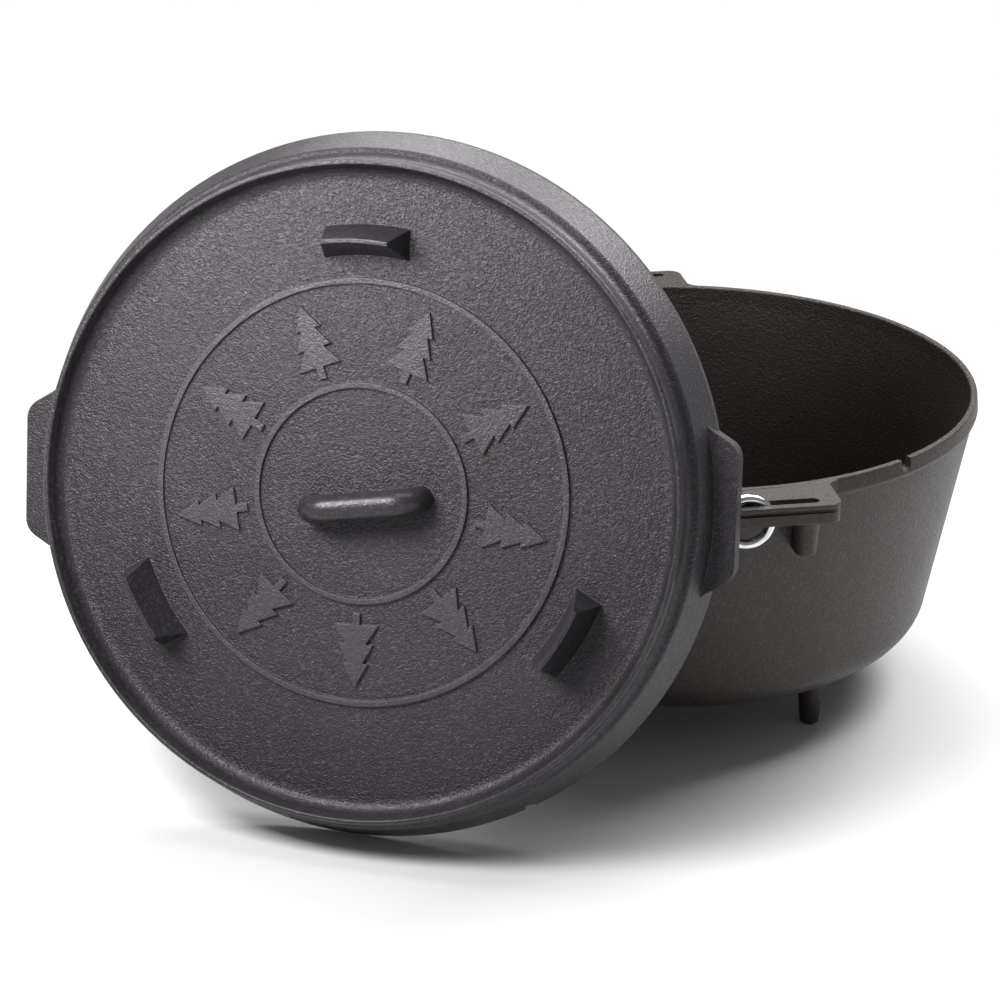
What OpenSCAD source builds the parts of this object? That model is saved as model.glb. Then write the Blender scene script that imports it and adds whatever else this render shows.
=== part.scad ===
// Camp dutch oven: a cast iron pot on three legs, its flanged lid leaning on one ear, and a wire bail.
// The pot's axis is Z, the ground is z = 0 and the near ear points to -Y. All sizes are millimetres.

/* [Pot] */
// Outer radius of the rim
rim_radius = 186; // [150:1:230]
// Height of the rim's top above the ground
pot_height = 193; // [140:1:260]
// Height of the three legs below the pot's bottom
leg_height = 34; // [15:1:60]
// Thickness of the pot's wall
wall = 5; // [4:0.5:8]
// Thickness of the pot's bottom
bottom = 6; // [5:0.5:10]
// Lean of the wall from upright, in degrees
taper = 10.7; // [4:0.1:16]
// Outside radius of the round between wall and bottom
base_round = 30; // [15:1:45]
// Height of the smooth band round the rim
rim_band = 9; // [5:0.5:14]
// Width of the notch in the rim for a thermometer lead
notch_width = 8; // [4:0.5:12]
// Depth of the notch in the rim
notch_depth = 7.5; // [4:0.5:9]
// Turn of the notch from the near ear, in degrees
notch_turn = 33.3; // [25:0.1:60]

/* [Legs] */
// Distance of each leg inside the edge of the flat bottom
leg_inset = 9.3; // [9:0.1:30]
// Radius of a leg at its tip
leg_tip = 5.8; // [4:0.1:9]
// Radius of a leg at its root
leg_root = 9; // [7:0.1:13]
// Turn of the first leg from the near ear, in degrees
leg_turn = 32.5; // [10:0.5:60]

/* [Ears] */
// Reach of an ear from the pot's axis, past the rim
ear_reach = 27.4; // [24:0.2:40]
// Half the length of an ear along the rim
ear_half = 48; // [46:1:70]
// Thickness of an ear's plate
ear_thick = 11; // [9:0.5:16]
// Depth of an ear's top below the rim's
ear_step = 0.5; // [0.4:0.1:1.5]
// Radius of the hollow round where an ear meets the rim
ear_root = 9; // [4:0.5:14]
// Half the length of the slot in an ear
slot_half = 36; // [32:1:40]
// Depth of the boss under each end of an ear
boss_drop = 28; // [12:0.5:36]
// Place of a boss from the ear's middle
boss_place = 34; // [28:0.5:38]
// Radius of a boss at its top
boss_radius = 8.4; // [6:0.1:9]
// Width of the bar outside the slot
bar_width = 5; // [4:0.2:9]
// Radius of the web across the slot that the bail hangs on
web_radius = 4.5; // [3.5:0.1:5]

/* [Bail] */
// Diameter of the bail's wire
wire = 5.6; // [4:0.1:6.5]
// Outer diameter of the eye at each end of the bail
eye_outside = 33; // [32:0.5:36]
// Sideways shift of the hanging eye from the ear's middle
eye_shift = 5; // [3:0.1:5.2]
// Depth of the eye's middle below the ear's top
eye_drop = 10.5; // [9:0.5:14]
// Space between the hoop and the seated lid's tabs
hoop_space = 13.5; // [8:0.5:30]
// Power of the hoop's arch: 2 is an ellipse, and less has slimmer shoulders
hoop_power = 1.15; // [1.1:0.05:1.25]
// Space on each side of the wire in the slot
slot_space = 0.5; // [0.4:0.1:1]

/* [Lid] */
// Overhang of the lid's flange past the rim
flange_overhang = 14; // [6:0.5:18]
// Height of the ridge round the lid's side
ridge_height = 27.4; // [20:0.2:36]
// Height of the lip's crest above the flange
lip_height = 44; // [36:0.5:60]
// Inset of the side ridge from the flange's edge
ridge_inset = 9.5; // [8:0.1:11]
// Inset of the lip's outer side from the flange's edge
lip_inset = 15.4; // [14:0.1:18]
// Width of the lip's crest
lip_width = 3; // [2:0.1:5]
// Radius of the hollow cove between ridge and lip
cove = 6.4; // [5:0.1:6.5]
// Depth of the recess inside the lip
recess = 14; // [8:0.5:18]
// Thickness of the lid's plate
plate = 5; // [4.5:0.5:9]
// Depth of the locating lip under the flange
seat_lip = 10; // [5:0.5:14]
// Reach of a side tab past the flange
tab_reach = 8.5; // [6:0.5:20]
// Half the width of a side tab
tab_half = 45; // [30:1:55]
// Thickness of a side tab
tab_thick = 13; // [6:0.5:16]
// Turn of the lid's edge notch from the right tab, in degrees
lid_notch_turn = -61; // [-75:1:-30]

/* [Lid handle and feet] */
// Length of the loop handle over its ends
handle_length = 77; // [60:1:100]
// Diameter of the handle's bar
handle_bar = 15.5; // [12:0.5:20]
// Height of the handle above the plate
handle_height = 24; // [21.5:0.5:34]
// Place of the handle to the right of the lid's middle
handle_right = 4; // [0:0.5:8]
// Place of the handle below the lid's middle
handle_low = 5; // [0:0.5:8]
// Turn of the handle from level, in degrees
handle_spin = 7.5; // [-10:0.5:10]
// Distance of the lid's feet inside the lip
foot_inset = 41; // [32:0.2:70]
// Height of a lid foot above the plate
foot_height = 24.5; // [18:0.5:34]
// Length of a lid foot at its base
foot_length = 49; // [30:1:60]
// Width of a lid foot at its base
foot_width = 17; // [12:0.5:22]
// Width of a lid foot's crest
foot_crest = 2.2; // [1:0.1:5]
// Length of the slope at each end of a lid foot
foot_slope = 6; // [3:0.5:12]

/* [Relief] */
// Height of the raised pattern on the lid
relief = 1.8; // [0.6:0.1:2]
// Width of the pattern's two rings
ring_width = 3; // [2:0.1:5]
// Number of trees in the pattern
trees = 9; // [5:1:12]

/* [Resting place of the lid] */
// Turn of the leaning lid's face from the near ear, in degrees
lean_turn = -24.9; // [-30:0.1:-18]
// Lean of the lid from upright, in degrees
lean_back = 15.4; // [10:0.1:22]
// Turn of the lid about its own axis, in degrees
lean_spin = 2.3; // [-8:0.1:8]
// Sideways place of the leaning lid along its own face, as a share of its flange's radius
lean_share = 0.623; // [0.55:0.001:0.7]
// Space kept between the lid and the ear it leans on
lean_space = 0.3; // [0.3:0.1:1]

/* [Hidden] */
$fn = 96;
eps = 0.01;

// Pot profile
pot_bottom = leg_height;
ridge_z = pot_height - rim_band;
wall_top = rim_radius - 2;
wall_foot = wall_top - (ridge_z - 2 - pot_bottom) * tan(taper);
corner_run = base_round * tan((90 - taper) / 2);
flat_radius = wall_foot - corner_run;
leg_circle = flat_radius - leg_inset;
rim_inside = rim_radius - wall;
inner_foot = wall_foot - wall / cos(taper);
inner_round = base_round - wall;
inner_run = inner_round * tan((90 - taper) / 2);
inner_flat = inner_foot + bottom * tan(taper) - inner_run;

// Ear and bail
ear_outer = rim_radius + ear_reach;
slot_width = wire + 2 * slot_space;
slot_mid = ear_outer - bar_width - slot_width / 2;
ear_top = pot_height - ear_step;
hinge_z = ear_top - eye_drop;
eye_mid = (eye_outside - wire) / 2;
eye_inside = eye_mid - wire / 2;
web_step = eye_inside - web_radius - 0.4;
web_up = sqrt(max(0, web_step * web_step - eye_shift * eye_shift));
web_z = hinge_z + web_up;
ear_round = 8;

// Bail path: a loop, a reverse bend, a straight leg and an arch, then the same mirrored
bend = 9;
bend_lead = asin(bend / (eye_mid + bend));
bend_end = (eye_mid + bend) * cos(bend_lead);
end_gap = 0.5;
end_lead = asin((wire + end_gap) / eye_mid) + 1.5;
slot_corner = [slot_half - eye_shift, eye_drop];
bail_lean = atan2(slot_corner[1], slot_corner[0])
    + asin((wire / 2 + lean_space + 0.1) / norm(slot_corner));
sides = 12;

// Lid
flange_radius = rim_radius + flange_overhang;
lid_ridge = flange_radius - ridge_inset;
lip_outer = flange_radius - lip_inset;
lip_inner = lip_outer - lip_width;
plate_top = lip_height - recess;
plate_under = plate_top - plate;
seat_outer = rim_inside - 4.5;
seat_inner = seat_outer - 4;
hollow_top = ridge_height - 6;
recess_round = min(8, recess - 3);
foot_circle = lip_inner - foot_inset;
hoop_rise = flange_radius + tab_reach + hoop_space;

// Resting place: the flange's lowest point on the ground and the locating lip against the ear's corner
lean_n = [sin(lean_turn) * cos(lean_back), -cos(lean_turn) * cos(lean_back), sin(lean_back)];
lean_h = [cos(lean_turn), sin(lean_turn), 0];
corner_mid = [-(ear_half - ear_round), -(ear_outer - ear_round), ear_top];
corner_reach = lean_n * corner_mid + ear_round * cos(lean_back);
lean_side = -lean_share * flange_radius;
lid_z = flange_radius * cos(lean_back);
lid_reach = corner_reach + seat_lip + lean_space;
lid_out = (lid_reach - lid_z * sin(lean_back)) / cos(lean_back);
lid_at = [
    lean_side * lean_h[0] + lid_out * sin(lean_turn),
    lean_side * lean_h[1] - lid_out * cos(lean_turn),
    lid_z
];

function arc(cx, cy, r, a0, a1, n) = [
    for (i = [0 : n]) [cx + r * cos(a0 + (a1 - a0) * i / n), cy + r * sin(a0 + (a1 - a0) * i / n)]
];

function pot_section() = concat(
    [[0, pot_bottom]],
    arc(flat_radius, pot_bottom + base_round, base_round, -90, -taper, 10),
    [
        [wall_top, ridge_z - 2],
        [rim_radius - 0.2, ridge_z - 0.6],
        [rim_radius, ridge_z + 0.6],
        [rim_radius - 0.8, pot_height - 1],
        [rim_radius - 1.4, pot_height],
        [rim_inside + 0.8, pot_height],
        [rim_inside, pot_height - 0.8],
        [rim_inside - 1, ridge_z]
    ],
    arc(inner_flat, pot_bottom + bottom + inner_round, inner_round, -taper, -90, 10),
    [[0, pot_bottom + bottom]]
);

function leg_section() = concat(
    [[0, 0]],
    arc(leg_tip - 2, 2, 2, -90, -6, 4),
    [[leg_root, leg_height], [leg_root, leg_height + bottom - 2], [0, leg_height + bottom - 2]]
);

module pot_leg() {
    rotate_extrude()
        polygon(leg_section());
}

module rounded_bar(x, y0, y1, r, h) {
    translate([-x + r, -y1 + r, 0])
        cylinder(h = h, r = r);
    translate([x - r, -y1 + r, 0])
        cylinder(h = h, r = r);
    translate([-x, -y1 + r, 0])
        cube([2 * x, y1 - r - y0, h]);
    translate([-x + r, -y1, 0])
        cube([2 * x - 2 * r, r + eps, h]);
}

module ear_slot() {
    r = slot_width / 2;
    translate([-slot_half + r, -slot_mid, -1])
        cylinder(h = ear_thick + 2, r = r);
    translate([slot_half - r, -slot_mid, -1])
        cylinder(h = ear_thick + 2, r = r);
    translate([-slot_half + r, -slot_mid - r, -1])
        cube([2 * slot_half - 2 * r, slot_width, ear_thick + 2]);
}

module ear_plate() {
    difference() {
        rounded_bar(ear_half, rim_radius * 0.6, ear_outer, ear_round, ear_thick);
        ear_slot();
        // Shadow groove along the outer edge
        translate([-ear_half, -ear_outer - 1, ear_thick - 4.8])
            cube([2 * ear_half, 2.4, 2.4]);
    }
}

module ear_root_round() {
    // Hollow round between the ear's end and the rim
    x = ear_half + ear_root;
    y = sqrt(pow(rim_radius + ear_root, 2) - x * x);
    share = rim_radius / (rim_radius + ear_root);
    difference() {
        linear_extrude(height = ear_thick)
            polygon([
                [ear_half - 2, -y],
                [x, -y],
                [x * share, -y * share],
                [x * share * 0.97, -y * share * 0.97],
                [ear_half - 2, -rim_radius * 0.9]
            ]);
        translate([x, -y, -1])
            cylinder(h = ear_thick + 2, r = ear_root);
    }
}

module ear_boss(x) {
    // Round boss under the ear, joined to the pot's wall
    boss_out = rim_radius + 2.5;
    boss_tip = boss_radius * 0.72;
    translate([x, -boss_out, ear_top - ear_thick - boss_drop])
        cylinder(h = boss_drop + 1, r1 = boss_tip, r2 = boss_radius);
    translate([x - boss_tip, -boss_out, ear_top - ear_thick - boss_drop])
        cube([2 * boss_tip, boss_out - rim_radius * 0.9, boss_drop + 1]);
}

module ear() {
    difference() {
        union() {
            translate([0, 0, ear_top - ear_thick]) {
                ear_plate();
                ear_root_round();
                mirror([1, 0, 0])
                    ear_root_round();
            }
            ear_boss(boss_place);
            ear_boss(-boss_place);
            // Web that the bail's eye hangs on
            translate([0, -slot_mid + slot_width, web_z])
                rotate([90, 0, 0])
                    cylinder(h = 2 * slot_width - 2, r = web_radius);
        }
        // Nothing of the ear stands inside the pot
        translate([0, 0, pot_bottom])
            cylinder(h = pot_height, r1 = inner_foot + 2, r2 = rim_inside + (pot_bottom) * tan(taper));
    }
}

module pot() {
    color([0.17, 0.16, 0.16])
        difference() {
            union() {
                rotate_extrude()
                    polygon(pot_section());
                ear();
                mirror([0, 1, 0])
                    ear();
                for (i = [0 : 2])
                    rotate([0, 0, leg_turn + 120 * i])
                        translate([0, -leg_circle, 0])
                            pot_leg();
            }
            // Notch in the rim
            rotate([0, 0, notch_turn])
                translate([0, -rim_radius + 12, pot_height - notch_depth + notch_width / 2])
                    rotate([90, 0, 0])
                        cylinder(h = 24, r = notch_width / 2);
            rotate([0, 0, notch_turn])
                translate([-notch_width / 2, -rim_radius - 12, pot_height - notch_depth + notch_width / 2])
                    cube([notch_width, 24, notch_depth]);
        }
}

function lid_section() = concat(
    [
        [0, plate_under],
        [seat_inner - 12, plate_under],
        [seat_inner - 6, plate_under - 3],
        [seat_inner - 3, plate_under - 8],
        [seat_inner, -seat_lip + 1],
        [seat_inner + 1, -seat_lip],
        [seat_outer - 1.5, -seat_lip],
        [seat_outer, -seat_lip + 2],
        [seat_outer + 0.8, 0],
        [rim_radius + 0.5, 0],
        [rim_radius + 0.8, hollow_top - 2],
        [rim_radius + 2, hollow_top],
        [lid_ridge - 3.2, hollow_top],
        [flange_radius - 5.5, 0],
        [flange_radius - 1, 0],
        [flange_radius, 1],
        [flange_radius - 0.4, 4],
        [lid_ridge + 0.5, ridge_height - 1],
        [lid_ridge - 0.6, ridge_height]
    ],
    arc(lid_ridge + 0.6, ridge_height + cove, cove, -108, -168, 6),
    [
        [lip_outer, lip_height - 1],
        [lip_outer - 0.8, lip_height],
        [lip_inner + 0.6, lip_height],
        [lip_inner, lip_height - 0.8]
    ],
    arc(lip_inner - 1.2 - recess_round, plate_top + recess_round, recess_round, 0, -90, 8),
    [[0, plate_top]]
);

module lid_tab() {
    // A plate that widens to the flange, with round outer corners
    x = tab_half - 8;
    r = 12;
    out = flange_radius + tab_reach;
    linear_extrude(height = tab_thick)
        polygon(concat(
            [[flange_radius - 12, -tab_half - 4], [flange_radius - 7, -tab_half]],
            arc(out - r, -x + r - 4, r, -62, 0, 6),
            arc(out - r, x - r + 4, r, 0, 62, 6),
            [[flange_radius - 7, tab_half], [flange_radius - 12, tab_half + 4]]
        ));
}

module lid_foot() {
    // A wedge that bends with the lid's edge
    intersection() {
        rotate([0, 0, 60])
            rotate_extrude(angle = 60)
                polygon([
                    [foot_circle - foot_width / 2, plate_top - 1],
                    [foot_circle + foot_width / 2, plate_top - 1],
                    [foot_circle + foot_width / 2, plate_top],
                    [foot_circle + foot_crest / 2, plate_top + foot_height],
                    [foot_circle - foot_crest / 2, plate_top + foot_height],
                    [foot_circle - foot_width / 2, plate_top]
                ]);
        translate([0, foot_circle + 40, 0])
            rotate([90, 0, 0])
                linear_extrude(height = 80)
                    polygon([
                        [-foot_length / 2, plate_top - 2],
                        [foot_length / 2, plate_top - 2],
                        [foot_length / 2, plate_top],
                        [foot_length / 2 - foot_slope, plate_top + foot_height + 1],
                        [-foot_length / 2 + foot_slope, plate_top + foot_height + 1],
                        [-foot_length / 2, plate_top]
                    ]);
    }
}

module handle_corner(s) {
    // A quarter turn of the bar, from upright to level
    r = handle_turn();
    translate([s * (handle_length / 2 - handle_bar / 2 - r), 0, plate_top + handle_height - handle_bar / 2 - r])
        rotate([90, 0, 0])
            rotate([0, 0, s > 0 ? 0 : 90])
                rotate_extrude(angle = 90)
                    translate([r, 0])
                        circle(d = handle_bar, $fn = 32);
}

function handle_turn() = handle_height - handle_bar / 2 - 4;

module lid_handle() {
    r = handle_turn();
    leg = handle_length / 2 - handle_bar / 2;
    handle_corner(1);
    handle_corner(-1);
    for (s = [-1, 1])
        translate([s * leg, 0, plate_top - 1])
            cylinder(h = 5, d = handle_bar, $fn = 32);
    translate([-leg + r, 0, plate_top + handle_height - handle_bar / 2])
        rotate([0, 90, 0])
            cylinder(h = 2 * leg - 2 * r, d = handle_bar, $fn = 32);
}

module ring(r, w) {
    rotate_extrude()
        polygon([
            [r - w / 2 - 0.4, plate_top - 0.5],
            [r + w / 2 + 0.4, plate_top - 0.5],
            [r + w / 2, plate_top + relief],
            [r - w / 2, plate_top + relief]
        ]);
}

module tree(h) {
    // A plain pine: three stacked boughs on a trunk
    w = h * 0.3;
    translate([0, 0, plate_top - 0.5])
        linear_extrude(height = relief + 0.5)
            polygon([
                [-w * 0.16, 0], [w * 0.16, 0], [w * 0.16, h * 0.16],
                [w, h * 0.16], [w * 0.45, h * 0.42], [w * 0.8, h * 0.42],
                [w * 0.32, h * 0.68], [w * 0.58, h * 0.68], [0, h],
                [-w * 0.58, h * 0.68], [-w * 0.32, h * 0.68],
                [-w * 0.8, h * 0.42], [-w * 0.45, h * 0.42],
                [-w, h * 0.16], [-w * 0.16, h * 0.16]
            ]);
}

module lid_body() {
    difference() {
        union() {
            rotate_extrude()
                polygon(lid_section());
            lid_tab();
            rotate([0, 0, 180])
                lid_tab();
        }
        // Notch in the flange's edge
        rotate([0, 0, lid_notch_turn])
            translate([seat_outer + 6, -notch_width / 2, -1])
                cube([flange_radius, notch_width, 6]);
        rotate([0, 0, lid_notch_turn])
            translate([seat_outer + 6, 0, 5])
                rotate([0, 90, 0])
                    cylinder(h = flange_radius - seat_outer, r = notch_width / 2);
    }
    for (i = [0 : 2])
        rotate([0, 0, 120 * i])
            lid_foot();
    translate([handle_right, -handle_low, 0])
        rotate([0, 0, handle_spin])
            lid_handle();
    ring(foot_circle * 0.43, ring_width);
    ring(foot_circle * 0.84, ring_width);
    for (i = [0 : trees - 1])
        rotate([0, 0, 360 / trees * (i + 0.5)])
            translate([0, foot_circle * 0.475, 0])
                tree(foot_circle * 0.3);
}

module lid() {
    color([0.33, 0.32, 0.33])
        translate(lid_at)
            rotate([0, 0, lean_turn])
                rotate([90 - lean_back, 0, 0])
                    rotate([0, 0, lean_spin])
                        lid_body();
}

// Points of the bail in its own plane frame: [along the hinge, along the hoop, across]
loop_rings = 30;
bend_rings = 9;
hoop_rings = 66;
hoop_share = 2 / hoop_power;
// The wire runs straight until it is clear of the slot's end
hoop_start = norm(slot_corner) + 1.8;

function loop_points() = [
    for (i = [0 : loop_rings])
        let (a = end_lead + (360 - end_lead - bend_lead) * i / loop_rings)
            [-slot_mid, eye_mid * cos(a), eye_mid * sin(a)]
];

function bend_points() = [
    for (i = [1 : bend_rings])
        let (a = 180 - bend_lead - (90 - bend_lead) * i / bend_rings)
            [
                -slot_mid,
                bend_end + bend * cos(a),
                -bend + bend * sin(a)
            ]
];

function hoop_points() = [
    for (i = [0 : hoop_rings])
        let (t = 180 * i / hoop_rings)
            [-slot_mid * cos(t), hoop_start + (hoop_rise - hoop_start) * pow(sin(t), hoop_share), 0]
];

function turned(list) = [for (i = [len(list) - 1 : -1 : 0]) [-list[i][0], list[i][1], list[i][2]]];

function bail_path() = let (half = concat(loop_points(), bend_points()))
    concat(half, hoop_points(), turned(half));

function unit(v) = v / norm(v);

// A frame is carried along the path so that the tube never twists
function carry(n, t) = unit(n - (n * t) * t);

function tangents(p) = [
    for (i = [0 : len(p) - 1]) unit(p[min(i + 1, len(p) - 1)] - p[max(i - 1, 0)])
];

function normals(t, i = 0, n = [1, 0, 0], out = []) = i == len(t)
    ? out
    : let (m = carry(n, t[i])) normals(t, i + 1, m, concat(out, [m]));

// Least gap of the wire to itself, from the loop's free half to the bend and the hoop's start
function own_gap(p) = min([
    for (i = [0 : floor(loop_rings / 2)])
        for (j = [loop_rings : loop_rings + bend_rings + 12])
            norm(p[i] - p[j])
]) - wire;

echo(wire_gap = own_gap(bail_path()));
echo(lid_at = lid_at, lean_n = lean_n, hinge_z = hinge_z, bail_lean = bail_lean, slot_mid = slot_mid);

module bail_tube() {
    p = bail_path();
    t = tangents(p);
    n = normals(t);
    rings = len(p);
    pts = [
        for (i = [0 : rings - 1])
            let (b = cross(t[i], n[i]))
                for (k = [0 : sides - 1])
                    p[i] + wire / 2 * (cos(360 * k / sides) * n[i] + sin(360 * k / sides) * b)
    ];
    quads = [
        for (i = [0 : rings - 2])
            for (k = [0 : sides - 1])
                [
                    i * sides + k,
                    (i + 1) * sides + k,
                    (i + 1) * sides + (k + 1) % sides,
                    i * sides + (k + 1) % sides
                ]
    ];
    first = [for (k = [0 : sides - 1]) k];
    last = [for (k = [sides - 1 : -1 : 0]) (rings - 1) * sides + k];
    polyhedron(points = pts, faces = concat(quads, [first, last]), convexity = 6);
}

module bail() {
    // The tube's own axes are laid out as hinge = Y, hoop = -X lifted by bail_lean
    color([0.8, 0.81, 0.82])
        translate([-eye_shift, 0, hinge_z])
            rotate([0, bail_lean, 0])
                rotate([0, 0, 90])
                    bail_tube();
}

pot();
lid();
bail();
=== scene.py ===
"""Looks of a camp dutch oven: a seasoned cast iron pot, its leaning lid and a bright wire bail."""

import logging
import math
from dataclasses import dataclass, field
from enum import Enum
from typing import Any

import bpy
import numpy as np
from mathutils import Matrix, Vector


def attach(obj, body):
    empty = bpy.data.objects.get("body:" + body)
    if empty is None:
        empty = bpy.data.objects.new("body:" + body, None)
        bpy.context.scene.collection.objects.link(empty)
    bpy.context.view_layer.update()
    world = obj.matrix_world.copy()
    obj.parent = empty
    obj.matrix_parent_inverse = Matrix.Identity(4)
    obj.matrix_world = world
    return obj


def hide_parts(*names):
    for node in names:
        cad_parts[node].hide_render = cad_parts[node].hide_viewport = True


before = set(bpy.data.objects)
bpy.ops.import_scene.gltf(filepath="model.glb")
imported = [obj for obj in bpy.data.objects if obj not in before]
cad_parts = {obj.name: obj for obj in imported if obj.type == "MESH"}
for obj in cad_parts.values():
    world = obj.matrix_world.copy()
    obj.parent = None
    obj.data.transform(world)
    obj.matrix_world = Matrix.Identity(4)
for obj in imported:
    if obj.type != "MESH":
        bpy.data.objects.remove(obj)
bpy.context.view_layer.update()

LOG = logging.getLogger("camp_oven")
MM = 0.001
NOISE_MEAN = 0.5
WHITE = (1.0, 1.0, 1.0, 1.0)
MIX_FIRST, MIX_SECOND, MIX_RESULT = 6, 7, 2  # a Mix node's sockets for colours
Colour = tuple[float, float, float]
Point = tuple[float, float, float]
Span = tuple[float, float]
Stops = tuple[tuple[float, float], ...]


class Stretch(Enum):
    """How object coordinates are stretched: not at all, or flattened on to the ground."""

    EVEN = (1.0, 1.0, 1.0)
    FLAT = (1.0, 1.0, 0.0)


class Value:
    """A shader socket whose arithmetic adds Math nodes."""

    def __init__(self, shader: "Shader", socket: bpy.types.NodeSocket | None) -> None:
        """Keeps the socket and the shader it belongs to."""
        self.shader = shader
        self.socket = socket

    def _maths(self, operation: str, first: Any, second: Any) -> "Value":
        """Result of one Math node on two operands, each a Value or a number."""
        return self.shader.node("ShaderNodeMath", {"operation": operation}, {0: first, 1: second})

    def __add__(self, other: Any) -> "Value":
        """Sum."""
        return self._maths("ADD", self, other)

    def __radd__(self, other: Any) -> "Value":
        """Sum, reflected."""
        return self._maths("ADD", other, self)

    def __sub__(self, other: Any) -> "Value":
        """Difference."""
        return self._maths("SUBTRACT", self, other)

    def __rsub__(self, other: Any) -> "Value":
        """Difference, reflected."""
        return self._maths("SUBTRACT", other, self)

    def __mul__(self, other: Any) -> "Value":
        """Product."""
        return self._maths("MULTIPLY", self, other)

    def __rmul__(self, other: Any) -> "Value":
        """Product, reflected."""
        return self._maths("MULTIPLY", other, self)


@dataclass(frozen=True)
class Noise:
    """Size of a noise's blotches in metres, the number of its finer layers and their weight."""

    size: float
    detail: float
    rough: float = 0.5


class Shader:
    """One node tree, with one method that makes any node."""

    def __init__(self, owner: bpy.types.Material | bpy.types.World) -> None:
        """Empties the owner's node tree.

        Args:
            owner: A material or a world.
        """
        owner.use_nodes = True
        self.owner = owner
        self.tree = owner.node_tree
        self.tree.nodes.clear()

    @classmethod
    def material(cls, name: str) -> "Shader":
        """Starts a new material of that name."""
        return cls(bpy.data.materials.new(name))

    def node(
        self,
        kind: str,
        settings: dict[str, Any] | None = None,
        sockets: dict[int | str, Any] | None = None,
        out: int | str = 0,
    ) -> Value:
        """Adds a node of any type.

        Args:
            kind: The node's type, such as ShaderNodeMath.
            settings: Its own settings, set first; "stops" fills a colour ramp.
            sockets: Values or links of its input sockets, by index or name.
            out: Output that is returned, by index or name.

        Returns:
            The chosen output, wrapped.
        """
        made = self.tree.nodes.new(kind)
        for key, value in (settings or {}).items():
            if key == "stops":
                for element, (place, shade) in zip(made.color_ramp.elements, value, strict=True):
                    element.position = place
                    element.color = (shade, shade, shade, 1.0)
            else:
                setattr(made, key, value)
        for key, value in (sockets or {}).items():
            if isinstance(value, Value):
                self.tree.links.new(value.socket, made.inputs[key])
            else:
                made.inputs[key].default_value = value
        return Value(self, made.outputs[out] if made.outputs else None)

    def place(self, stretch: Stretch = Stretch.EVEN) -> Value:
        """Object coordinates, in metres.

        Args:
            stretch: How the coordinates are stretched.

        Returns:
            A vector.
        """
        where = self.node("ShaderNodeTexCoord", out="Object")
        sockets = {0: where, 1: stretch.value}
        return self.node("ShaderNodeVectorMath", {"operation": "MULTIPLY"}, sockets)

    def noise(self, where: Value, kind: Noise) -> Value:
        """Noise from 0 to 1.

        Args:
            where: Coordinates.
            kind: Size and layers of the noise.

        Returns:
            The noise.
        """
        sockets = {
            "Vector": where,
            "Scale": 1 / kind.size,
            "Detail": kind.detail,
            "Roughness": kind.rough,
        }
        return self.node("ShaderNodeTexNoise", sockets=sockets)

    def ramp(self, value: Value, stops: Stops) -> Value:
        """The value remapped through two grey stops, each a place and a shade."""
        return self.node("ShaderNodeValToRGB", {"stops": stops}, {0: value})

    def span(self, value: Value, ends: Span) -> Value:
        """How far the value is from the first end, 0, to the second, 1, and held there."""
        return self.node("ShaderNodeMapRange", sockets={0: value, 1: ends[0], 2: ends[1]})

    def dot(self, first: Value, second: Any) -> Value:
        """Dot product of a vector and another vector or three numbers."""
        sockets = {0: first, 1: second}
        return self.node("ShaderNodeVectorMath", {"operation": "DOT_PRODUCT"}, sockets, out="Value")

    def mix(self, share: Value, first: Any, second: Any) -> Value:
        """Mixes two colours.

        Args:
            share: Share of the second.
            first: A colour or a link.
            second: A colour or a link.

        Returns:
            The mixed colour.
        """

        def shade(colour: Any) -> Any:
            """A colour with its alpha, or the link itself."""
            return colour if isinstance(colour, Value) else (*colour, 1.0)

        sockets = {0: share, MIX_FIRST: shade(first), MIX_SECOND: shade(second)}
        return self.node("ShaderNodeMix", {"data_type": "RGBA"}, sockets, out=MIX_RESULT)

    def finish(self, surface: Value) -> bpy.types.Material | bpy.types.World:
        """Links the surface to the tree's output.

        Args:
            surface: The shader that the tree gives.

        Returns:
            The tree's owner.
        """
        kind = "World" if isinstance(self.owner, bpy.types.World) else "Material"
        self.node(f"ShaderNodeOutput{kind}", sockets={"Surface": surface})
        return self.owner


@dataclass
class Skin:
    """What a finish varies over the surface: its colour, roughness and bump height."""

    colour: Value
    rough: Value
    height: Value


@dataclass(frozen=True)
class InsideGrainAndShade:
    """How the inside of a turned casting differs: a stronger grain, and a darker colour that is
    painted shade.
    """

    # colour of the painted shade inside, and how much of it is mixed in
    colour: Colour
    gain: float
    share: float = 0.65
    turn: Span = (0.02, 0.0)

    def shade(self, sh: Shader, skin: Skin, flat: Value) -> None:
        """Changes the skin where it faces the casting's axis, darkening its colour as painted
        shade.

        Args:
            sh: The material's shader.
            skin: The skin that is changed.
            flat: The surface's normal.
        """
        inward = sh.span(sh.dot(flat, sh.place(Stretch.FLAT)), self.turn)
        skin.height = skin.height * (1 + inward * (self.gain - 1))
        # painted shade: the colour goes darker where the surface faces the casting's axis, inside
        # the pot
        skin.colour = sh.mix(inward * self.share, skin.colour, self.colour)


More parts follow.
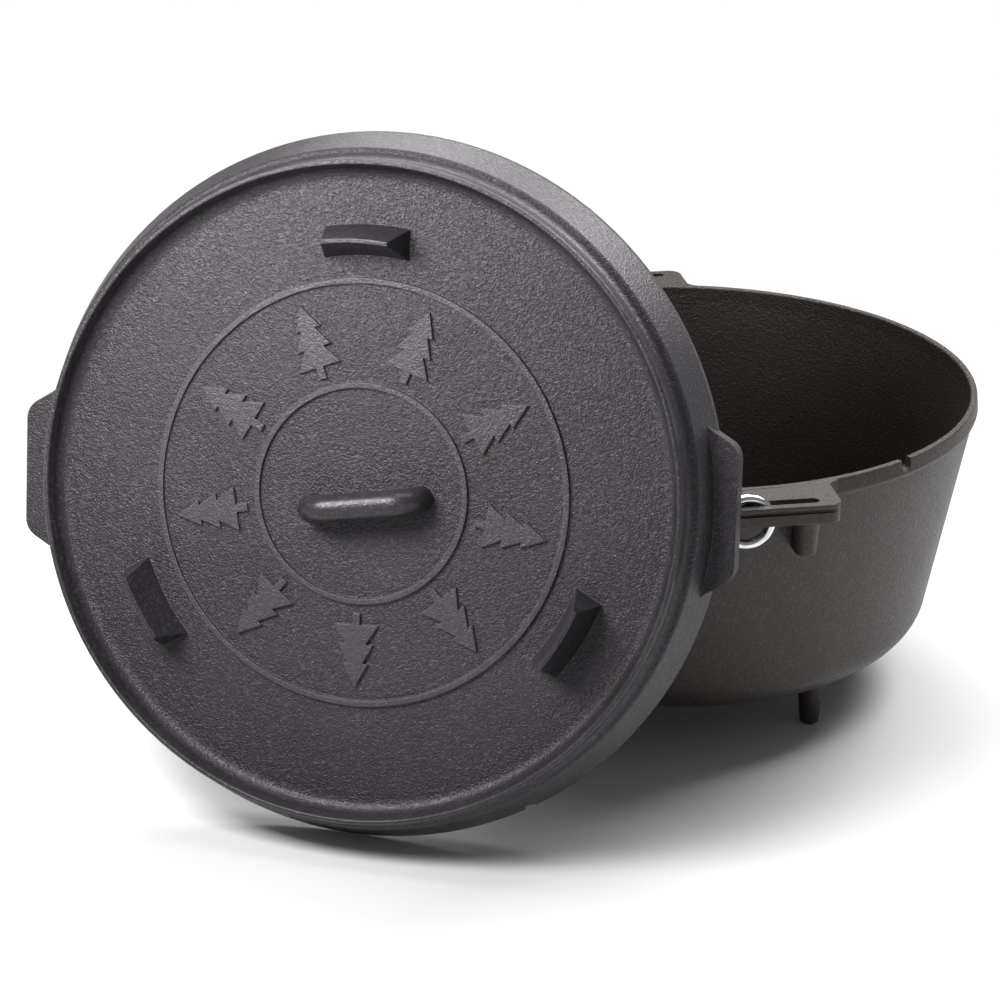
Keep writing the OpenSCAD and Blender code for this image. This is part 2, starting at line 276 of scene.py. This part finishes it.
@dataclass(frozen=True)
class Raised:
    """What stands out of the lid's plate: relief with a painted highlight on its tops, and a handle
    rubbed smooth.

    Sizes are heights over the plate, in metres.
    """

    axis: Point
    plate: float  # the plate's own place along the axis
    facing: Stops = ((0.85, 0.0), (0.95, 1.0))
    top_rise: Span = (0.8 * MM, 1.5 * MM)
    top_fall: Span = (3.6 * MM, 2.4 * MM)
    held_rise: Span = (9 * MM, 17 * MM)
    # share of the painted highlight on the relief's tops
    top_painted_highlight: float = 0.26
    top_smooth: float = 0.35
    top_gloss: float = 0.06
    held_smooth: float = 0.7
    held_gloss: float = 0.08
    side_grain: float = 0.4

    def rub(self, sh: Shader, skin: Skin, where: Value, flat: Value, edge: Colour) -> None:
        """Changes the skin where it stands out of the plate.

        Args:
            sh: The material's shader.
            skin: The skin that is changed.
            where: Object coordinates.
            flat: The surface's normal.
            edge: Colour of rubbed iron, also used for the painted highlight on the tops.
        """
        lift = sh.dot(where, self.axis) - self.plate
        facing = sh.ramp(sh.dot(flat, self.axis), self.facing)
        top = sh.span(lift, self.top_rise) * sh.span(lift, self.top_fall) * facing
        held = sh.span(lift, self.held_rise)
        held_grain = 1 - held * self.held_smooth
        top_grain = 1 - top * self.top_smooth
        side_grain = self.side_grain + facing * (1 - self.side_grain)
        # painted highlight: the tops of the raised relief are lightened towards the edge colour
        skin.colour = sh.mix(top * self.top_painted_highlight, skin.colour, edge)
        skin.height = skin.height * held_grain * top_grain * side_grain
        skin.rough = skin.rough - held * self.held_gloss - top * self.top_gloss


@dataclass(frozen=True)
class IronFinish:
    """Seasoned sand-cast iron: dark, satin and finely pitted. Sizes in metres."""

    name: str
    dark: Colour
    light: Colour
    # lighter iron for flecks, worn edges, and the painted highlights on edges and relief tops
    edge: Colour
    tint: Colour
    grain: Noise
    pit: Noise
    relief: float
    rough: float = 0.42
    gloss: float = 0.42
    inside: InsideGrainAndShade | None = None
    raised: Raised | None = None
    patch: Noise = Noise(46 * MM, 3.0)
    cloud: Noise = Noise(150 * MM, 2.0)
    patch_share: float = 0.55
    cloud_share: float = 0.45
    body_stops: Stops = ((0.36, 0.0), (0.64, 1.0))
    pit_colour: Colour = (0.004, 0.0038, 0.0036)
    pit_stops: Stops = ((0.3, 0.6), (0.48, 0.0))
    fleck_stops: Stops = ((0.52, 0.0), (0.75, 0.45))
    edge_round: float = 1.1 * MM
    edge_samples: int = 4
    wear_edge: Stops = ((0.004, 0.0), (0.09, 1.0))
    wear_patch: Stops = ((0.35, 0.35), (0.65, 1.0))
    # share of the edge colour for wear and the painted edge highlight
    wear_and_highlight_share: float = 0.7
    wear_gloss: float = 0.1
    grain_gloss: float = 0.3
    patch_rough: float = 0.1
    grain_height: float = 0.75
    pit_height: float = 0.35
    patch_height: float = 0.25
    pit_depth: Stops = ((0.25, 0.0), (0.6, 1.0))

    def material(self) -> bpy.types.Material:
        """Builds the node material.

        Returns:
            The material.
        """
        sh = Shader.material(self.name)
        where = sh.place()
        kinds = (self.grain, self.pit, self.patch, self.cloud)
        grain, pits, patch, cloud = (sh.noise(where, kind) for kind in kinds)
        flat = sh.node("ShaderNodeNewGeometry", out="Normal")
        samples = {"samples": self.edge_samples}
        soft = sh.node("ShaderNodeBevel", samples, {"Radius": self.edge_round})
        # edge wear together with a painted edge highlight: edges, found from the bevelled normal,
        # lighten in random patches
        wear_and_edge_highlight = sh.ramp(1 - sh.dot(flat, soft), self.wear_edge) * sh.ramp(patch, self.wear_patch)
        blotch = sh.ramp(patch * self.patch_share + cloud * self.cloud_share, self.body_stops)
        body = sh.mix(blotch, self.dark, self.light)
        pitted = sh.mix(sh.ramp(pits, self.pit_stops), body, self.pit_colour)
        flecked = sh.mix(sh.ramp(grain, self.fleck_stops), pitted, self.edge)
        satin = self.rough - (grain - NOISE_MEAN) * self.grain_gloss
        holes = sh.ramp(pits, self.pit_depth)
        skin = Skin(
            # wear and painted edge highlight: the colour goes towards the edge colour there
            colour=sh.mix(wear_and_edge_highlight * self.wear_and_highlight_share, flecked, self.edge),
            rough=satin + (patch - NOISE_MEAN) * self.patch_rough - wear_and_edge_highlight * self.wear_gloss,
            height=grain * self.grain_height + holes * self.pit_height + patch * self.patch_height,
        )
        if self.inside:
            self.inside.shade(sh, skin, flat)
        if self.raised:
            self.raised.rub(sh, skin, where, flat, self.edge)
        bump = {"Strength": 1.0, "Distance": self.relief, "Height": skin.height, "Normal": soft}
        sockets = {
            "Base Color": skin.colour,
            "Roughness": skin.rough,
            "Normal": sh.node("ShaderNodeBump", sockets=bump),
            "Specular IOR Level": self.gloss,
            "Specular Tint": (*self.tint, 1.0),
        }
        return sh.finish(sh.node("ShaderNodeBsdfPrincipled", sockets=sockets))


@dataclass(frozen=True)
class ZincFinish:
    """Bright zinc on drawn steel wire. Sizes in metres."""

    name: str = "bright_zinc"
    bright: Colour = (0.80, 0.81, 0.82)
    dull: Colour = (0.55, 0.56, 0.57)
    rough: float = 0.14
    spangle: Noise = Noise(5 * MM, 3.0)
    draw: Noise = Noise(0.8 * MM, 2.0)
    dull_stops: Stops = ((0.4, 0.0), (0.62, 0.55))
    spangle_rough: float = 0.16
    draw_rough: float = 0.08
    bump: float = 0.35
    relief: float = 0.06 * MM

    def material(self) -> bpy.types.Material:
        """Builds the node material.

        Returns:
            The material.
        """
        sh = Shader.material(self.name)
        where = sh.place()
        spangle, draw = sh.noise(where, self.spangle), sh.noise(where, self.draw)
        swing = (spangle - NOISE_MEAN) * self.spangle_rough
        bump = {"Strength": self.bump, "Distance": self.relief, "Height": draw}
        sockets = {
            "Base Color": sh.mix(sh.ramp(spangle, self.dull_stops), self.bright, self.dull),
            "Metallic": 1.0,
            "Roughness": self.rough + swing + (draw - NOISE_MEAN) * self.draw_rough,
            "Normal": sh.node("ShaderNodeBump", sockets=bump),
        }
        return sh.finish(sh.node("ShaderNodeBsdfPrincipled", sockets=sockets))


@dataclass
class Casting:
    """A CAD casting that keeps its shape and gets its finish."""

    node: str
    finish: IronFinish

    def dress(self) -> bpy.types.Object:
        """Gives the CAD node its material.

        Returns:
            The CAD node's object.
        """
        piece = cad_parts[self.node]
        piece.data.materials.clear()
        piece.data.materials.append(self.finish.material())
        LOG.info("%s: cast iron, %d faces", self.node, len(piece.data.polygons))
        return piece


@dataclass
class WireBail:
    """The bail: one round wire with an open eye at each end and an arched hoop. Sizes in metres."""

    wire: float = 5.6 * MM
    eye_outside: float = 33 * MM
    slot_middle: float = 205.1 * MM
    hinge: Point = (-5 * MM, 0.0, 182 * MM)
    lean_corner: Span = (31 * MM, 10.5 * MM)  # slot's edge, out and up from the hinge
    lean_space: float = 0.4 * MM
    bend: float = 9 * MM
    end_gap: float = 0.5 * MM
    end_turn: float = math.radians(1.5)
    rise: float = 222 * MM  # from the hinge to the hoop's top
    power: float = 1.15  # how square the arch is
    straight: float = 34.53 * MM  # from the hinge to the start of the arch
    eye_points: int = 73
    bend_points: int = 15
    hoop_points: int = 181
    sides: int = 28
    finish: ZincFinish = field(default_factory=ZincFinish)

    def path(self) -> np.ndarray:
        """Points along the wire's middle, in the hoop's own plane.

        Returns:
            An array of points: along the hinge, along the hoop, across.
        """
        eye = (self.eye_outside - self.wire) / 2
        lead = math.asin(self.bend / (eye + self.bend))
        start = math.asin((self.wire + self.end_gap) / eye) + self.end_turn
        foot = (eye + self.bend) * math.cos(lead)
        turn = np.linspace(start, 2 * math.pi - lead, self.eye_points)
        sweep = np.linspace(math.pi - lead, math.pi / 2, self.bend_points + 1)[1:]
        loop = np.c_[eye * np.cos(turn), eye * np.sin(turn)]
        bent = np.c_[foot + self.bend * np.cos(sweep), self.bend * np.sin(sweep) - self.bend]
        half = np.r_[loop, bent]
        half = np.c_[np.full(len(half), -self.slot_middle), half]
        t = np.linspace(0, math.pi, self.hoop_points)
        up = np.abs(np.sin(t)) ** (2 / self.power)
        hoop = np.c_[
            -self.slot_middle * np.cos(t),
            self.straight + (self.rise - self.straight) * up,
            np.zeros(self.hoop_points),
        ]
        return np.r_[half, hoop, (half * (-1, 1, 1))[::-1]]

    def placed(self, points: np.ndarray) -> np.ndarray:
        """Turns points of the hoop's plane into the row frame.

        Args:
            points: Points along the hinge, along the hoop, across.

        Returns:
            The same points, in the row frame.
        """
        out, up = self.lean_corner
        clear = self.wire / 2 + self.lean_space
        lean = math.atan2(up, out) + math.asin(clear / math.hypot(out, up))
        x, z = -points[:, 1], points[:, 2]
        return np.c_[
            self.hinge[0] + x * math.cos(lean) + z * math.sin(lean),
            self.hinge[1] + points[:, 0],
            self.hinge[2] - x * math.sin(lean) + z * math.cos(lean),
        ]

    def rings(self, path: np.ndarray) -> list[np.ndarray]:
        """Round sections along the path, turned as little as possible.

        Args:
            path: Points along the wire's middle.

        Returns:
            The points of each section.
        """
        along = np.gradient(path, axis=0)
        along /= np.linalg.norm(along, axis=1)[:, None]
        turn = np.linspace(0, 2 * math.pi, self.sides, endpoint=False)
        side = np.array((0.0, 1.0, 0.0))
        rings = []
        for point, ahead in zip(path, along):
            side = side - (side @ ahead) * ahead
            side /= np.linalg.norm(side)
            circle = np.outer(np.cos(turn), side) + np.outer(np.sin(turn), np.cross(ahead, side))
            rings.append(point + self.wire / 2 * circle)
        return rings

    def build(self) -> bpy.types.Object:
        """Sweeps the wire along its path and dresses it.

        Returns:
            The wire's object.
        """
        rings = self.rings(self.placed(self.path()))
        n = self.sides
        last = (len(rings) - 1) * n
        ends = [list(range(n))[::-1], [last + k for k in range(n)]]
        skin = [
            (i + k, i + (k + 1) % n, i + n + (k + 1) % n, i + n + k)
            for i in range(0, last, n)
            for k in range(n)
        ]
        mesh = bpy.data.meshes.new("bail_wire")
        mesh.from_pydata(np.vstack(rings).tolist(), [], skin + ends)
        mesh.validate()
        mesh.polygons.foreach_set("use_smooth", [True] * len(skin) + [False] * len(ends))
        mesh.materials.append(self.finish.material())
        piece = bpy.data.objects.new("bail_wire", mesh)
        bpy.context.scene.collection.objects.link(piece)
        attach(piece, "bail")
        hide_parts("bail")
        LOG.info("bail_wire: %d rings of %d sides", len(rings), n)
        return piece


@dataclass(frozen=True)
class Softbox:
    """One soft lamp, its sizes in metres."""

    name: str
    place: Point
    size: tuple[float, float]
    watts: float
    aim: Point

    def light(self) -> None:
        """Hangs the lamp and points it at the oven."""
        lamp = bpy.data.lights.new(self.name, "AREA")
        lamp.shape = "RECTANGLE"
        lamp.size, lamp.size_y = self.size
        lamp.energy = self.watts
        hung = bpy.data.objects.new(self.name, lamp)
        hung.location = self.place
        toward = Vector(self.aim) - Vector(self.place)
        hung.rotation_euler = toward.to_track_quat("-Z", "Y").to_euler()
        bpy.context.scene.collection.objects.link(hung)


@dataclass
class Studio:
    """Pale floor, white surroundings, soft lamps and the camera. Sizes in metres."""

    floor_half: float = 12.0
    floor_colour: Colour = (0.72, 0.72, 0.725)
    floor_rough: float = 0.16
    shade_near: float = 0.3
    shade_far: float = 0.75
    sky: float = 0.2
    lamps: tuple[Softbox, ...] = (
        Softbox("overhead_softbox", (0.25, 0.12, 1.15), (1.0, 0.8), 12.0, (0.25, 0.08, 0.0)),
        Softbox("back_softbox", (0.0, 1.13, 1.35), (0.9, 0.5), 14.5, (-0.2, -0.1, 0.38)),
        Softbox("right_softbox", (0.95, 0.38, 1.35), (0.9, 0.6), 25.0, (0.0, -0.17, 0.33)),
        Softbox("left_softbox", (-0.54, -0.37, 0.59), (0.35, 0.25), 6.8, (-0.3, -0.1, 0.36)),
    )
    eye: Point = (-0.3763, -1.6300, 0.8054)
    gaze: Point = (0.1479, 0.9113, -0.3843)
    lens: float = 102.6
    sensor: float = 36.0
    clip: Span = (0.05, 60.0)

    def seen(self, sh: Shader) -> Value:
        """Tells the rays that see the floor from those that light the oven.

        Args:
            sh: The floor's shader.

        Returns:
            1 where the floor is seen directly, in a gloss or through glass, and otherwise 0.
        """
        rays = ("Is Camera Ray", "Is Glossy Ray", "Is Transmission Ray")
        camera, gloss, glass = (sh.node("ShaderNodeLightPath", out=ray) for ray in rays)
        sockets = {0: camera + gloss + glass, 1: 1.0}
        return sh.node("ShaderNodeMath", {"operation": "MINIMUM"}, sockets)

    def floor(self) -> None:
        """Lays the floor, which goes white away from the oven."""
        sh = Shader.material("pale_floor")
        pale = {"Base Color": (*self.floor_colour, 1.0), "Roughness": self.floor_rough}
        lit = sh.node("ShaderNodeBsdfPrincipled", sockets=pale)
        white = sh.node("ShaderNodeEmission", sockets={"Color": WHITE, "Strength": 1.0})
        length = {"operation": "LENGTH"}
        away = sh.node("ShaderNodeVectorMath", length, {0: sh.place()}, out="Value")
        lift = sh.node(
            "ShaderNodeMapRange",
            {"interpolation_type": "SMOOTHSTEP"},
            {0: away, 1: self.shade_near, 2: self.shade_far},
        )
        both = sh.node("ShaderNodeMixShader", sockets={0: lift * self.seen(sh), 1: lit, 2: white})
        h = self.floor_half
        mesh = bpy.data.meshes.new("floor")
        mesh.from_pydata([(-h, -h, 0), (h, -h, 0), (h, h, 0), (-h, h, 0)], [], [(0, 1, 2, 3)])
        mesh.materials.append(sh.finish(both))
        floor = bpy.data.objects.new("floor", mesh)
        bpy.context.scene.collection.objects.link(floor)

    def world(self) -> None:
        """Sets white surroundings that light the oven softly."""
        sh = Shader(bpy.data.worlds.new("studio"))
        white = {"Color": WHITE, "Strength": self.sky}
        bpy.context.scene.world = sh.finish(sh.node("ShaderNodeBackground", sockets=white))

    def camera(self) -> None:
        """Places the camera at the photograph's view."""
        data = bpy.data.cameras.new("camera")
        data.lens, data.sensor_width, data.sensor_fit = self.lens, self.sensor, "AUTO"
        data.clip_start, data.clip_end = self.clip
        camera = bpy.data.objects.new("camera", data)
        camera.location = self.eye
        camera.rotation_euler = Vector(self.gaze).to_track_quat("-Z", "Y").to_euler()
        bpy.context.scene.collection.objects.link(camera)
        bpy.context.scene.camera = camera

    def build(self) -> None:
        """Builds the whole studio."""
        bpy.context.scene.view_settings.view_transform = "Standard"
        self.camera()
        self.floor()
        self.world()
        for lamp in self.lamps:
            lamp.light()
        LOG.info("studio: %d lamps", len(self.lamps))


POT_IRON = IronFinish(
    "pot_iron",
    dark=(0.0145, 0.0122, 0.0106),
    light=(0.0232, 0.0199, 0.0177),
    edge=(0.085, 0.077, 0.07),
    tint=(1.0, 0.93, 0.89),
    grain=Noise(2.1 * MM, 3.0, 0.62),
    pit=Noise(1.2 * MM, 1.0, 0.6),
    relief=0.42 * MM,
    rough=0.46,
    gloss=0.5,
    # painted shade inside the pot, and a stronger grain there
    inside=InsideGrainAndShade(colour=(0.0085, 0.006, 0.0042), gain=1.9),
)
LID_IRON = IronFinish(
    "lid_iron",
    dark=(0.016, 0.0145, 0.0163),
    light=(0.0245, 0.0223, 0.0252),
    edge=(0.10, 0.094, 0.10),
    tint=(1.0, 0.93, 1.0),
    grain=Noise(2.3 * MM, 3.0, 0.62),
    pit=Noise(1.1 * MM, 1.0, 0.6),
    relief=0.85 * MM,
    # relief with a painted highlight on its tops, and a smoother handle
    raised=Raised(axis=(-0.405919, -0.874477, 0.265556), plate=295.0 * MM),
)


def main() -> None:
    """Builds the oven's looks and the studio round it."""
    logging.basicConfig(level=logging.INFO, format="%(name)s %(message)s")
    Studio().build()
    Casting("pot", POT_IRON).dress()
    Casting("lid", LID_IRON).dress()
    WireBail().build()


if __name__ == "__main__":
    main()
